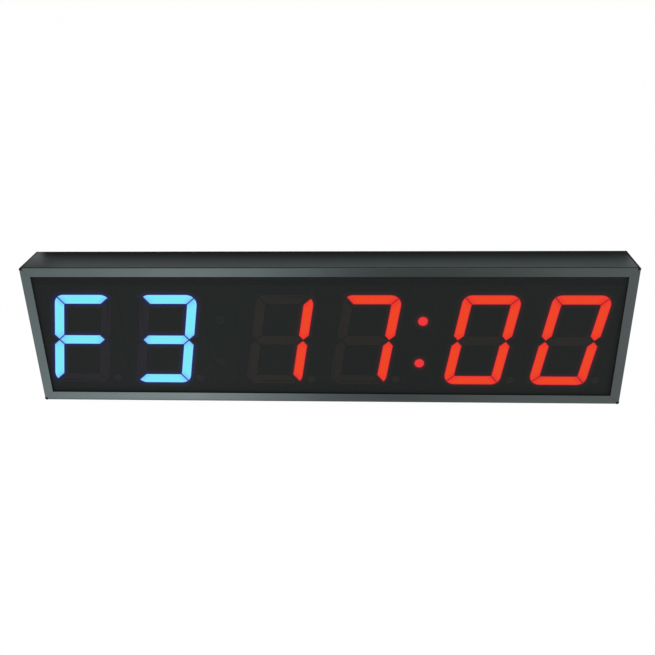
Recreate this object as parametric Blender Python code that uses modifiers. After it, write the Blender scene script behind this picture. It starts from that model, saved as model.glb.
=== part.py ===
"""Gym clock: a wall-hung interval timer with six four-inch LED digits behind a smoked window.

Metres, +X to the reader's right, +Y into the wall, +Z up. The origin is the centre of the flat
rear face. The case is four mitred aluminium rails on plastic corner keys. The window and the
display board slide in grooves of the rails, and the rear cover carries the control board. The
power jack and the power switch sit in the right end rail.
"""

import math

import bmesh
import bpy
from mathutils import Matrix, Vector
from mathutils.geometry import interpolate_bezier

# Gap between pieces that fit together.
FIT = 0.0003

# What the display shows, from left to right, and which colon is lit.
READING = "F31700"
BLUE_DIGITS = 2
LIT_COLON = 2
LIT_STROKES = {"F": "aefg", "3": "abcdg", "1": "bc", "7": "abc", "0": "abcdef"}

# One digit, upright: its size, its stroke and the gap at the mitres. The radius is that of its
# outer corners once it leans.
DIGIT_WIDTH = 0.0584
DIGIT_HEIGHT = 0.1008
STROKE = 0.0105
STROKE_GAP = 0.0010
DIGIT_CORNER = 0.0105
# The digit leans right by this share of its height.
SLANT = 1 / 6
# Decimal point: gap from the digit, and height of its centre over the digit's foot.
POINT_DIAMETER = 0.0090
POINT_GAP = 0.0048
POINT_RISE = 0.0057

# Digit module: a black reflector housing with an epoxy lens cast into it.
SIDE_MARGIN = 0.0058
END_MARGIN = 0.0101
MODULE_DEPTH = 0.0140
RIM = 0.0022
RECESS_MARGIN = 0.0030
RECESS_DEPTH = 0.0040
PEG_DIAMETER = 0.0030
PEG_INSET = 0.0036
PEG_REACH = 0.0012

# Colon module: two dots, a little left of and below its middle.
COLON_DOT = 0.0106
COLON_SPACING = 0.0474
COLON_MARGIN = 0.0096
COLON_LEAN = 0.0022
COLON_LEFT = 0.0021
COLON_DROP = 0.0020

# The row of modules sits left of and below the middle of the window.
GROUP_DIGITS = 2
ROW_LEFT = 0.0035
ROW_DROP = 0.00565

# Rails: the gap that a mitre closes to, the bezel's face width, the wall and the grooves' lips.
RAIL_GAP = 0.0001
BEZEL = 0.0098
FLANGE = 0.0015
WALL = 0.0016
OPENING_SPARE = 0.0100
EDGE_RADIUS = 0.0009
REAR_CHAMFER = 0.0004
LIP = 0.0012
LIP_REACH = 0.0034
LEDGE = 0.0015
LEDGE_MARGIN = 0.0013

# Corner keys: two arms in the rails' slots, and a spine that shows along the case's edge.
KEY_THICKNESS = 0.0025
KEY_ARM = 0.0280
KEY_CHAMFER = 0.0008
KEY_OVERHANG = 0.0020
SPINE_ROOT = 0.0008
SPINE_RADIUS = 0.0018

WINDOW_THICKNESS = 0.0025
BOARD_THICKNESS = 0.0016

# Rear cover and its countersunk screws.
COVER_THICKNESS = 0.0015
SCREW_DIAMETER = 0.0028
SCREW_HEAD = 0.0052
SCREW_HEAD_DEPTH = 0.0012
SCREW_LENGTH = 0.0080
SCREW_MARGIN = 0.0007
SCREW_COLUMNS = 3
SCREW_END = 0.0300
DRIVE_WIDTH = 0.0007
DRIVE_LENGTH = 0.0028
DRIVE_DEPTH = 0.0008

# Two keyholes take the heads of the wall screws.
KEYHOLE_SPACING = 0.4000
KEYHOLE_RISE = 0.0420
KEYHOLE_ENTRY = 0.0096
KEYHOLE_SLOT = 0.0050
KEYHOLE_TRAVEL = 0.0100

# Sound holes for the buzzer: one in the middle of a ring.
SOUND_HOLE = 0.0020
SOUND_RING = 0.0050
SOUND_COUNT = 6
SOUND_RISE = 0.0100

# Control board, on four adhesive supports on the cover.
CONTROL_WIDTH = 0.1180
CONTROL_HEIGHT = 0.0700
CONTROL_DROP = 0.0150
LEAD_ROOM = 0.0520
SUPPORT_HEIGHT = 0.0050
SUPPORT_INSET = 0.0045
SUPPORT_FOOT = 0.0100
SUPPORT_FOOT_THICKNESS = 0.0012
SUPPORT_POST = 0.0052
SUPPORT_TIP = 0.0030
SUPPORT_BARB = 0.0042
BACK_CLEARANCE = 0.0041

# Parts on the boards: each place is measured from the middle of the control board.
CAPACITOR = (0.0340, 0.0190)
CAPACITOR_DIAMETER = 0.0100
CAPACITOR_HEIGHT = 0.0120
CAPACITOR_GROOVE = 0.0006
BUZZER = (-0.0450, 0.0200)
BUZZER_DIAMETER = 0.0120
BUZZER_HEIGHT = 0.0095
BUZZER_PORT = 0.0025
CELL = (0.0080, -0.0170)
CELL_DIAMETER = 0.0200
CELL_THICKNESS = 0.0032
HOLDER_WALL = 0.0014
HOLDER_FLOOR = 0.0010
HOLDER_NOTCH = 0.0090
TERMINAL_Z = -0.0050
TERMINAL_SIZE = (0.0080, 0.0100, 0.0110)
TERMINAL_INSET = 0.0015
ENTRY_RISE = 0.0040
LEAD_SPACING = 0.0050
CONTROLLER = (-0.0140, 0.0160)
CONTROLLER_SIZE = (0.0180, 0.0075, 0.0023)
CONTROLLER_LEGS = 9
CRYSTAL = (0.0080, 0.0190)
CRYSTAL_SIZE = (0.0110, 0.0045, 0.0035)
HEADER = (-0.0460, -0.0160)
HEADER_SIZE = (0.0100, 0.0250, 0.0060)
HEADER_KEY = 0.0045
RIBBON_RUN = 0.0600
RIBBON_WIDTH = 0.0203
RIBBON_THICKNESS = 0.0009
RIBBON_STEPS = 10
DRIVER_SIZE = (0.0100, 0.0040, 0.0016)
DRIVER_LEGS = 5
DRIVER_OFFSET = 0.1500
LEG_PITCH = 0.0018
LEG_WIDTH = 0.0007
LEG_THICKNESS = 0.0004
LEG_REACH = 0.0013

# Infrared receiver for the remote control, above the unlit colon.
RECEIVER_SIZE = (0.0056, 0.0070, 0.0035)
RECEIVER_DOME = 0.0044
RECEIVER_LEG = 0.0006
RECEIVER_LEG_PITCH = 0.0020

# Power jack in the right rail, 5.5 mm plug over a 2.1 mm pin.
JACK_Z = -0.0250
JACK_BORE = 0.0062
JACK_PIN = 0.0021
JACK_BARREL = 0.0078
JACK_FLANGE = 0.0110
JACK_FLANGE_THICKNESS = 0.0020
JACK_LENGTH = 0.0140
JACK_FLOOR = 0.0030
JACK_PIN_SINK = 0.0015
NUT_WIDTH = 0.0110
NUT_THICKNESS = 0.0025
TAG_SIZE = (0.0036, 0.0006, 0.0018)
TAG_SPACING = 0.0044

# Power switch in the right rail: bezel, body, well and rocker.
SWITCH_Z = 0.0080
SWITCH_RIM = 0.0012
SWITCH_BEZEL_THICKNESS = 0.0016
SWITCH_WALL = 0.0013
SWITCH_DEPTH = 0.0130
BLADE_SIZE = (0.0060, 0.0008, 0.0032)
BLADE_SPACING = 0.0064
ROCKER_HALF_LENGTH = 0.0051
ROCKER_WIDTH = 0.0060
ROCKER_RISE = 0.0034
ROCKER_DISH = 0.0024
ROCKER_SKIRT = 0.0015
ROCKER_KEEL = 0.0030
ROCKER_PIVOT_DEPTH = 0.0029
ROCKER_TILT = math.radians(10)
TRUNNION_DIAMETER = 0.0020
TRUNNION_LENGTH = 0.0006

# Leads between the jack, the switch and the terminal block.
LEAD_DIAMETER = 0.0016
LEAD_PULL = 0.0140
LEAD_TAIL = 0.0030
LEAD_STEPS = 14

# Sides of the round pieces.
COARSE = 12
ROUND = 16
FINE = 24
ARC_STEPS = 3

# Faces within this angle of each other are one flat side.
FLAT = math.radians(0.1)

# Sizes that follow from the ones above.
MODULE_WIDTH = DIGIT_WIDTH + SLANT * DIGIT_HEIGHT + 2 * SIDE_MARGIN
MODULE_HEIGHT = DIGIT_HEIGHT + 2 * END_MARGIN
COLON_WIDTH = COLON_DOT + 2 * COLON_MARGIN
COLON_COUNT = len(READING) // GROUP_DIGITS - 1
ROW_WIDTH = len(READING) * MODULE_WIDTH + COLON_COUNT * COLON_WIDTH
CASE_WIDTH = ROW_WIDTH + 2 * BEZEL
CASE_HEIGHT = MODULE_HEIGHT + OPENING_SPARE + 2 * BEZEL
TALLEST = max(CAPACITOR_HEIGHT, BUZZER_HEIGHT, TERMINAL_SIZE[2])
BACK_ROOM = SUPPORT_HEIGHT + BOARD_THICKNESS + FIT + TALLEST + BACK_CLEARANCE

# Planes from the wall forward, as Y values.
COVER_INSIDE = -COVER_THICKNESS
LEDGE_BACK = COVER_INSIDE - FIT
LEDGE_FRONT = LEDGE_BACK - LEDGE
CONTROL_BACK = COVER_INSIDE - SUPPORT_HEIGHT
CONTROL_FRONT = CONTROL_BACK - BOARD_THICKNESS
BOARD_BACK = COVER_INSIDE - BACK_ROOM
BOARD_FRONT = BOARD_BACK - BOARD_THICKNESS
MODULE_BACK = BOARD_FRONT - FIT
MODULE_FRONT = MODULE_BACK - MODULE_DEPTH
WINDOW_BACK = MODULE_FRONT - FIT
WINDOW_FRONT = WINDOW_BACK - WINDOW_THICKNESS
CASE_FRONT = WINDOW_FRONT - FIT - FLANGE
KEY_FRONT = BOARD_BACK + FIT + LIP

# Distances in from the case's outer faces.
PLATE_EDGE = WALL + FIT
LIP_END = WALL + LIP_REACH
SLOT_INSIDE = WALL + KEY_THICKNESS + 2 * FIT
SLOT_END = SLOT_INSIDE + LIP
SCREW_INSET = SLOT_END + SCREW_MARGIN + SCREW_DIAMETER / 2
SCREW_HOLE = SCREW_DIAMETER + 2 * FIT
LEDGE_END = SCREW_INSET + SCREW_HOLE / 2 + LEDGE_MARGIN
SPINE = PLATE_EDGE + SPINE_ROOT
PLATE_CHAMFER = 2 * (SPINE_ROOT + FIT)

# Where the right rail's fittings sit in its depth.
FITTINGS_Y = (KEY_FRONT + LEDGE_FRONT) / 2
RIGHT_FACE = CASE_WIDTH / 2


def clear_scene():
    for old in list(bpy.data.objects):
        bpy.data.objects.remove(old)


def new_collection(name):
    made = bpy.data.collections.new(name)
    bpy.context.scene.collection.children.link(made)
    return made


clear_scene()
CLOCK = new_collection("gym_clock")
CUTTERS = new_collection("cutters")


def material(name, colour, roughness, metallic=0.0, glow=0.0):
    made = bpy.data.materials.new(name)
    made.use_nodes = True
    shader = made.node_tree.nodes["Principled BSDF"]
    shader.inputs["Base Color"].default_value = (*colour, 1)
    shader.inputs["Roughness"].default_value = roughness
    shader.inputs["Metallic"].default_value = metallic
    shader.inputs["Emission Color"].default_value = (*colour, 1)
    shader.inputs["Emission Strength"].default_value = glow
    return made


ANODISED = material("black_anodised", (0.09, 0.10, 0.10), 0.42, 0.8)
BLACK_PLASTIC = material("black_plastic", (0.012, 0.012, 0.013), 0.5)
SMOKED = material("smoked_acrylic", (0.018, 0.020, 0.021), 0.12)
COATED_STEEL = material("coated_steel", (0.03, 0.03, 0.032), 0.55, 0.2)
SCREW_STEEL = material("black_screw", (0.05, 0.05, 0.05), 0.35, 0.9)
REFLECTOR = material("reflector_black", (0.014, 0.015, 0.016), 0.7)
BLUE_LIT = material("blue_lit", (0.20, 0.80, 0.97), 0.5, 0.0, 1.0)
RED_LIT = material("red_lit", (0.95, 0.06, 0.02), 0.5, 0.0, 1.0)
UNLIT = material("unlit_lens", (0.030, 0.022, 0.020), 0.6)
BOARD_GREEN = material("board_green", (0.015, 0.11, 0.045), 0.5)
CHIP_BLACK = material("chip_black", (0.02, 0.02, 0.022), 0.6)
TIN = material("tinned", (0.72, 0.72, 0.70), 0.3, 1.0)
CAN_SLEEVE = material("can_sleeve", (0.02, 0.03, 0.08), 0.35)
SOCKET_GREEN = material("terminal_green", (0.02, 0.22, 0.10), 0.5)
RIBBON_GREY = material("ribbon_grey", (0.38, 0.39, 0.40), 0.6)
NYLON = material("nylon", (0.80, 0.79, 0.74), 0.5)
LEAD_RED = material("lead_red", (0.60, 0.02, 0.02), 0.5)
LEAD_BLACK = material("lead_black", (0.015, 0.015, 0.015), 0.5)


def add(name, mesh, finish=None, cutter=False):
    """Puts a mesh in the scene as a piece of the clock, or as a hidden cutter."""
    piece = bpy.data.objects.new(name, mesh)
    (CUTTERS if cutter else CLOCK).objects.link(piece)
    piece.hide_render = cutter
    if cutter:
        piece.display_type = "WIRE"
    if finish:
        mesh.materials.append(finish)
    return piece


def mesh_of(shape):
    made = bpy.data.meshes.new("shape")
    bmesh.ops.recalc_face_normals(shape, faces=shape.faces)
    shape.to_mesh(made)
    shape.free()
    return made


def blocks(boxes):
    """One mesh of boxes, each given by its lowest and highest corner."""
    shape = bmesh.new()
    for low, high in boxes:
        low, high = Vector(low), Vector(high)
        place = Matrix.Translation((low + high) / 2) @ Matrix.Diagonal((*(high - low), 1))
        bmesh.ops.create_cube(shape, size=1, matrix=place)
    return mesh_of(shape)


def block_at(middle, size):
    """A box's corners, from its middle and its size."""
    middle, half = Vector(middle), Vector(size) / 2
    return middle - half, middle + half


def rods(ends, radius, sides, end_radius=None):
    """One mesh of cylinders, or cones, each between two points."""
    shape = bmesh.new()
    for start, end in ends:
        start, end = Vector(start), Vector(end)
        turn = Vector((0, 0, 1)).rotation_difference(end - start).to_matrix().to_4x4()
        bmesh.ops.create_cone(
            shape,
            cap_ends=True,
            segments=sides,
            radius1=radius,
            radius2=radius if end_radius is None else end_radius,
            depth=(end - start).length,
            matrix=Matrix.Translation((start + end) / 2) @ turn,
        )
    return mesh_of(shape)


def extruded(outlines, thickness):
    """A flat 2D curve of closed outlines, an inner one being a hole, as a mesh along Z."""
    curve = bpy.data.curves.new("outline", "CURVE")
    curve.dimensions = "2D"
    curve.fill_mode = "BOTH"
    curve.extrude = thickness / 2
    for outline in outlines:
        spline = curve.splines.new("POLY")
        spline.points.add(len(outline) - 1)
        for point, (x, y) in zip(spline.points, outline):
            point.co = (x, y, 0, 1)
        spline.use_cyclic_u = True
    return converted(curve)


def converted(curve):
    """The closed mesh of a curve, with its caps welded on and each flat side made one face."""
    guide = bpy.data.objects.new("guide", curve)
    CUTTERS.objects.link(guide)
    graph = bpy.context.evaluated_depsgraph_get()
    made = bpy.data.meshes.new_from_object(guide.evaluated_get(graph))
    bpy.data.objects.remove(guide)
    shape = bmesh.new()
    shape.from_mesh(made)
    bmesh.ops.remove_doubles(shape, verts=shape.verts, dist=1e-6)
    bmesh.ops.dissolve_limit(shape, angle_limit=FLAT, verts=shape.verts, edges=shape.edges)
    return mesh_of(shape)


def plate(outlines, front, back):
    """Outlines in X and Z, solid from the front plane to the back plane."""
    made = extruded(outlines, back - front)
    stand = Matrix.Rotation(math.pi / 2, 4, "X")
    made.transform(Matrix.Translation((0, (front + back) / 2, 0)) @ stand)
    return made


def turned(name, profile, base, direction, steps, finish):
    """A profile of (radius, height), listed down its outer side, turned about its axis."""
    shape = bmesh.new()
    corners = [shape.verts.new((radius, 0, height)) for radius, height in profile]
    for start, end in zip(corners, corners[1:]):
        shape.edges.new((start, end))
    made = bpy.data.meshes.new(name)
    shape.to_mesh(made)
    shape.free()
    piece = add(name, made, finish)
    screw = piece.modifiers.new("turn", "SCREW")
    screw.steps = steps
    screw.render_steps = steps
    screw.use_merge_vertices = True
    screw.merge_threshold = 1e-5
    piece.rotation_mode = "QUATERNION"
    piece.rotation_quaternion = Vector((0, 0, 1)).rotation_difference(Vector(direction))
    piece.location = base
    return piece


def boolean(piece, mesh, operation="DIFFERENCE"):
    """Cuts a mesh out of a piece, or joins it on."""
    cutter = add(f"{piece.name}_{operation.lower()}", mesh, cutter=True)
    step = piece.modifiers.new(cutter.name, "BOOLEAN")
    step.operation = operation
    step.object = cutter
    step.material_mode = "TRANSFER"
    return cutter


def join(piece, mesh, finish=None):
    if finish:
        mesh.materials.append(finish)
    return boolean(piece, mesh, "UNION")


def settled(piece):
    """Turns the piece's modifiers into its mesh, so that copies can share it."""
    graph = bpy.context.evaluated_depsgraph_get()
    piece.data = bpy.data.meshes.new_from_object(piece.evaluated_get(graph))
    piece.modifiers.clear()
    return piece.data


def copies(mesh, moves):
    """One mesh that holds a copy of the given one at each move."""
    shape = bmesh.new()
    for move in moves:
        moved = mesh.copy()
        moved.transform(move)
        shape.from_mesh(moved)
        bpy.data.meshes.remove(moved)
    return mesh_of(shape)


def circle(x, z, radius, sides):
    steps = [2 * math.pi * step / sides for step in range(sides)]
    return [(x + radius * math.cos(turn), z + radius * math.sin(turn)) for turn in steps]


def arc(x, z, radius, start, end, steps):
    turns = [start + (end - start) * step / steps for step in range(steps + 1)]
    return [(x + radius * math.cos(turn), z + radius * math.sin(turn)) for turn in turns]


def rectangle(half_width, half_height, chamfer=0.0):
    """A rectangle round the origin, with its corners cut off at 45 degrees."""
    if not chamfer:
        return [
            (-half_width, -half_height),
            (half_width, -half_height),
            (half_width, half_height),
            (-half_width, half_height),
        ]
    corners = []
    for x, z in ((-1, -1), (1, -1), (1, 1), (-1, 1)):
        ends = [
            (x * half_width, z * (half_height - chamfer)),
            (x * (half_width - chamfer), z * half_height),
        ]
        corners += ends if x == z else reversed(ends)
    return corners


def inset(outline, gap):
    """A convex outline, listed anticlockwise, with every side moved in by a gap."""
    sides = []
    for start, end in zip(outline, outline[1:] + outline[:1]):
        along = (Vector(end) - Vector(start)).normalized()
        inward = Vector((-along.y, along.x))
        sides.append((Vector(start) + inward * gap, along))
    corners = []
    for (before, first), (after, second) in zip(sides[-1:] + sides[:-1], sides):
        reach = (after - before).cross(second) / first.cross(second)
        corners.append(tuple(before + first * reach))
    return corners


def leaning(outline):
    return [(x + SLANT * z, z) for x, z in outline]


def half_turned(outline):
    return [(-x, -z) for x, z in outline]


def corner_arcs(side, top_start, upright_start):
    """A leaning digit's rounded top corner, split by a mitre: the top's arc and the upright's.

    Each end of the mitre is given where it starts, on the strokes' inner side.
    """
    slope = math.hypot(1, SLANT)
    z = DIGIT_HEIGHT / 2 - DIGIT_CORNER
    x = side * (DIGIT_WIDTH / 2 - DIGIT_CORNER * slope) + SLANT * z
    mitre = Vector((side + SLANT, 1)).normalized()
    ends = []
    for start in leaning([top_start, upright_start]):
        away = Vector((x, z)) - Vector(start)
        reach = away.dot(mitre) + math.sqrt(DIGIT_CORNER**2 - away.cross(mitre) ** 2)
        end = mitre * reach - away
        ends.append(math.atan2(end.y, end.x))
    flank = math.atan2(-side * SLANT, side)
    top = arc(x, z, DIGIT_CORNER, ends[0], math.pi / 2, ARC_STEPS)
    upright = arc(x, z, DIGIT_CORNER, flank, ends[1], ARC_STEPS)
    return top, upright


def strokes():
    """The seven strokes of a leaning digit, as outlines round its middle."""
    half_width, half_height = DIGIT_WIDTH / 2, DIGIT_HEIGHT / 2
    inner_width, inner_height = half_width - STROKE, half_height - STROKE
    half_stroke = STROKE / 2
    gap = STROKE_GAP / math.sqrt(2)
    shoulder, tip = inner_width - gap, inner_width + half_stroke - gap
    top, uprights = {}, {}
    for side in (-1, 1):
        top_start = (side * shoulder, inner_height)
        upright_start = (side * inner_width, inner_height - gap)
        foot = [
            (side * inner_width, half_stroke + gap),
            (side * (inner_width + half_stroke), gap),
            (side * half_width, half_stroke + gap),
        ]
        top[side], flank = corner_arcs(side, top_start, upright_start)
        upright = leaning(foot) + flank + leaning([upright_start])
        uprights[side] = upright if side > 0 else upright[::-1]
    lower_edge = leaning([(-shoulder, inner_height), (shoulder, inner_height)])
    across = lower_edge + top[1] + top[-1][::-1]
    middle = [
        (-tip, 0),
        (-shoulder, -half_stroke),
        (shoulder, -half_stroke),
        (tip, 0),
        (shoulder, half_stroke),
        (-shoulder, half_stroke),
    ]
    return {
        "a": across,
        "b": uprights[1],
        "c": half_turned(uprights[-1]),
        "d": half_turned(across),
        "e": half_turned(uprights[1]),
        "f": uprights[-1],
        "g": leaning(middle),
    }


def digit_windows(gap=0.0):
    """The outlines of a leaning digit's strokes and its decimal point, drawn in by a gap."""
    windows = {name: inset(outline, gap) for name, outline in strokes().items()}
    foot = POINT_RISE - DIGIT_HEIGHT / 2
    point_x = DIGIT_WIDTH / 2 + SLANT * foot + POINT_GAP + POINT_DIAMETER / 2
    windows["point"] = circle(point_x, foot, POINT_DIAMETER / 2 - gap, COARSE)
    return windows


def colon_windows(gap=0.0):
    windows = {}
    for name, side in (("upper", 1), ("lower", -1)):
        x = side * COLON_LEAN / 2 - COLON_LEFT
        z = side * COLON_SPACING / 2 - COLON_DROP
        windows[name] = circle(x, z, COLON_DOT / 2 - gap, ROUND)
    return windows


def peg_ends(start, end):
    rise = MODULE_HEIGHT / 2 - PEG_INSET
    return [((0, start, side * rise), (0, end, side * rise)) for side in (-1, 1)]


def recess(width, gap=0.0):
    """The half width and half height of the hollow in a module's back."""
    return width / 2 - RIM - gap, DIGIT_HEIGHT / 2 + RECESS_MARGIN - gap


def housing_mesh(width, windows):
    """A reflector block with a window for each stroke, a hollow back and two pegs."""
    half = (width - FIT) / 2
    block = plate([rectangle(half, MODULE_HEIGHT / 2)], MODULE_FRONT, MODULE_BACK)
    housing = add("housing", block)
    boolean(housing, plate(windows.values(), MODULE_FRONT - FIT, MODULE_BACK + FIT))
    hollow = plate([rectangle(*recess(width))], MODULE_BACK - RECESS_DEPTH, MODULE_BACK + FIT)
    boolean(housing, hollow)
    end = BOARD_BACK + PEG_REACH
    join(housing, rods(peg_ends(MODULE_BACK - FIT, end), PEG_DIAMETER / 2, COARSE))
    made = settled(housing)
    bpy.data.objects.remove(housing)
    return made


def lens(name, width, windows, lit, lit_finish, finish):
    """The epoxy of one module: a slab in the back with a block in each window."""
    slab_front = MODULE_BACK - RECESS_DEPTH + FIT
    slab = plate([rectangle(*recess(width, FIT))], slab_front, MODULE_BACK)
    piece = add(name, slab, finish)
    for strokes_lit, colour in ((True, lit_finish), (False, finish)):
        chosen = [outline for key, outline in windows.items() if (key in lit) == strokes_lit]
        if chosen:
            join(piece, plate(chosen, MODULE_FRONT, MODULE_BACK - FIT), colour)
    return piece


def module_places():
    """The X of each digit's and each colon's middle."""
    digits, colons = [], []
    x = -ROW_WIDTH / 2 - ROW_LEFT
    for index in range(len(READING)):
        if index and index % GROUP_DIGITS == 0:
            colons.append(x + COLON_WIDTH / 2)
            x += COLON_WIDTH
        digits.append(x + MODULE_WIDTH / 2)
        x += MODULE_WIDTH
    return digits, colons


def make_display():
    digits, colons = module_places()
    digit_housing = housing_mesh(MODULE_WIDTH, digit_windows())
    digit_housing.materials.append(REFLECTOR)
    for index, (x, sign) in enumerate(zip(digits, READING)):
        housing = add(f"digit_housing_{index + 1}", digit_housing)
        lit_finish = BLUE_LIT if index < BLUE_DIGITS else RED_LIT
        name = f"digit_lens_{index + 1}"
        windows = digit_windows(FIT)
        fill = lens(name, MODULE_WIDTH, windows, LIT_STROKES[sign], lit_finish, UNLIT)
        place_module(housing, fill, x)
    colon_housing = housing_mesh(COLON_WIDTH, colon_windows())
    colon_housing.materials.append(REFLECTOR)
    for index, x in enumerate(colons):
        housing = add(f"colon_housing_{index + 1}", colon_housing)
        lit = ("upper", "lower") if index + 1 == LIT_COLON else ()
        name = f"colon_lens_{index + 1}"
        fill = lens(name, COLON_WIDTH, colon_windows(FIT), lit, RED_LIT, UNLIT)
        place_module(housing, fill, x)
    board_outline = rectangle(*plate_half(), PLATE_CHAMFER)
    board = add("display_board", plate([board_outline], BOARD_FRONT, BOARD_BACK), BOARD_GREEN)
    holes = peg_ends(BOARD_FRONT - FIT, BOARD_BACK + FIT)
    ends = [
        (Vector(start) + Vector((x, 0, -ROW_DROP)), Vector(end) + Vector((x, 0, -ROW_DROP)))
        for x in digits + colons
        for start, end in holes
    ]
    boolean(board, rods(ends, PEG_DIAMETER / 2 + FIT, COARSE))
    make_receiver(colons[0])


def place_module(housing, fill, x):
    """Moves a housing and its lens to their place in the row."""
    settled(fill)
    for piece in (housing, fill):
        piece.location = (x, 0, -ROW_DROP)


def plate_half():
    """Half the width and height of the plates that slide in the rails."""
    return CASE_WIDTH / 2 - PLATE_EDGE, CASE_HEIGHT / 2 - PLATE_EDGE


def make_receiver(x):
    """Infrared receiver on long legs, with its dome behind the window above the modules."""
    width, height, depth = RECEIVER_SIZE
    z = (MODULE_HEIGHT / 2 - ROW_DROP + CASE_HEIGHT / 2 - LIP_END) / 2
    dome = RECEIVER_DOME / 2
    front = MODULE_FRONT + dome
    body = block_at((x, front + depth / 2, z), (width, depth, height))
    piece = add("ir_receiver", blocks([body]), CHIP_BLACK)
    ball = bmesh.new()
    place = Matrix.Translation((x, front, z))
    bmesh.ops.create_uvsphere(ball, u_segments=COARSE, v_segments=8, radius=dome, matrix=place)
    join(piece, mesh_of(ball))
    legs = []
    for step in (-1, 0, 1):
        leg_x = x + step * RECEIVER_LEG_PITCH
        middle = (leg_x, (front + depth / 2 + BOARD_FRONT - FIT) / 2, z)
        length = BOARD_FRONT - FIT - front - depth / 2
        legs.append(block_at(middle, (RECEIVER_LEG, length, RECEIVER_LEG)))
    join(piece, blocks(legs), TIN)


def rail_profile():
    """A rail's section, as (distance in from the outer face, Y)."""
    edge = arc(EDGE_RADIUS, CASE_FRONT + EDGE_RADIUS, EDGE_RADIUS, math.pi, 1.5 * math.pi, 3)
    return [
        *edge,
        (BEZEL, CASE_FRONT),
        (BEZEL, CASE_FRONT + FLANGE),
        (WALL, CASE_FRONT + FLANGE),
        (WALL, MODULE_FRONT),
        (LIP_END, MODULE_FRONT),
        (LIP_END, MODULE_FRONT + LIP),
        (WALL, MODULE_FRONT + LIP),
        (WALL, MODULE_BACK - LIP),
        (LIP_END, MODULE_BACK - LIP),
        (LIP_END, MODULE_BACK),
        (WALL, MODULE_BACK),
        (WALL, KEY_FRONT - LIP),
        (SLOT_END, KEY_FRONT - LIP),
        (SLOT_END, KEY_FRONT + KEY_OVERHANG),
        (SLOT_INSIDE, KEY_FRONT + KEY_OVERHANG),
        (SLOT_INSIDE, KEY_FRONT),
        (WALL, KEY_FRONT),
        (WALL, LEDGE_FRONT),
        (SLOT_INSIDE, LEDGE_FRONT),
        (SLOT_INSIDE, LEDGE_FRONT - KEY_OVERHANG),
        (SLOT_END, LEDGE_FRONT - KEY_OVERHANG),
        (SLOT_END, LEDGE_FRONT),
        (LEDGE_END, LEDGE_FRONT),
        (LEDGE_END, LEDGE_BACK),
        (WALL, LEDGE_BACK),
        (WALL, 0),
        (REAR_CHAMFER, 0),
        (0, -REAR_CHAMFER),
    ]


def rail_mesh(length):
    """A rail along Z, its outer face at X = 0, mitred and cut short for the corner spines."""
    shape = bmesh.new()
    shape.from_mesh(extruded([rail_profile()], length))
    for side in (-1, 1):
        mitre = side * (length / 2 - RAIL_GAP / math.sqrt(2))
        square = side * (length / 2 - SPINE - FIT)
        for height, normal in ((mitre, (1, 0, side)), (square, (0, 0, side))):
            everything = shape.verts[:] + shape.edges[:] + shape.faces[:]
            bmesh.ops.bisect_plane(
                shape,
                geom=everything,
                plane_co=(0, 0, height),
                plane_no=normal,
                clear_outer=True,
            )
            open_edges = [edge for edge in shape.edges if edge.is_boundary]
            bmesh.ops.holes_fill(shape, edges=open_edges)
    return mesh_of(shape)


def make_rails():
    half_width, half_height = CASE_WIDTH / 2, CASE_HEIGHT / 2
    places = (
        ("top_rail", CASE_WIDTH, 90, (0, 0, half_height)),
        ("bottom_rail", CASE_WIDTH, -90, (0, 0, -half_height)),
        ("left_rail", CASE_HEIGHT, 0, (-half_width, 0, 0)),
        ("right_rail", CASE_HEIGHT, 180, (half_width, 0, 0)),
    )
    rails = {}
    for name, length, turn, place in places:
        rails[name] = add(name, rail_mesh(length), ANODISED)
        rails[name].rotation_euler = (0, math.radians(turn), 0)
        rails[name].location = place
    for name, side in (("top_rail", 1), ("bottom_rail", -1)):
        ends = [
            ((x, LEDGE_FRONT - FIT, z), (x, LEDGE_BACK + FIT, z))
            for x, z in screw_places()
            if z * side > 0
        ]
        boolean(rails[name], rods(ends, SCREW_HOLE / 2, COARSE))
    start = (RIGHT_FACE - WALL - FIT, FITTINGS_Y, JACK_Z)
    end = (RIGHT_FACE + FIT, FITTINGS_Y, JACK_Z)
    boolean(rails["right_rail"], rods([(start, end)], JACK_BARREL / 2 + FIT, ROUND))
    middle = (RIGHT_FACE, FITTINGS_Y, SWITCH_Z)
    size = (4 * WALL, switch_body_width() + 2 * FIT, switch_body_length() + 2 * FIT)
    boolean(rails["right_rail"], blocks([block_at(middle, size)]))


def screw_places():
    """X and Z of the cover's screws, in a row along the top and one along the bottom."""
    reach = CASE_WIDTH / 2 - SCREW_END
    columns = [reach * (2 * step / (SCREW_COLUMNS - 1) - 1) for step in range(SCREW_COLUMNS)]
    z = CASE_HEIGHT / 2 - SCREW_INSET
    return [(x, side * z) for side in (1, -1) for x in columns]


def key_outline():
    """Two arms at right angles, from a corner at the origin that points up and right."""
    near, far, end = PLATE_EDGE, PLATE_EDGE + KEY_THICKNESS, KEY_ARM
    bevel = KEY_CHAMFER
    return [
        (-near, -near),
        (-end + bevel, -near),
        (-end, -near - bevel),
        (-end, -far + bevel),
        (-end + bevel, -far),
        (-far, -far),
        (-far, -end + bevel),
        (-far + bevel, -end),
        (-near - bevel, -end),
        (-near, -end + bevel),
    ]


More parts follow.
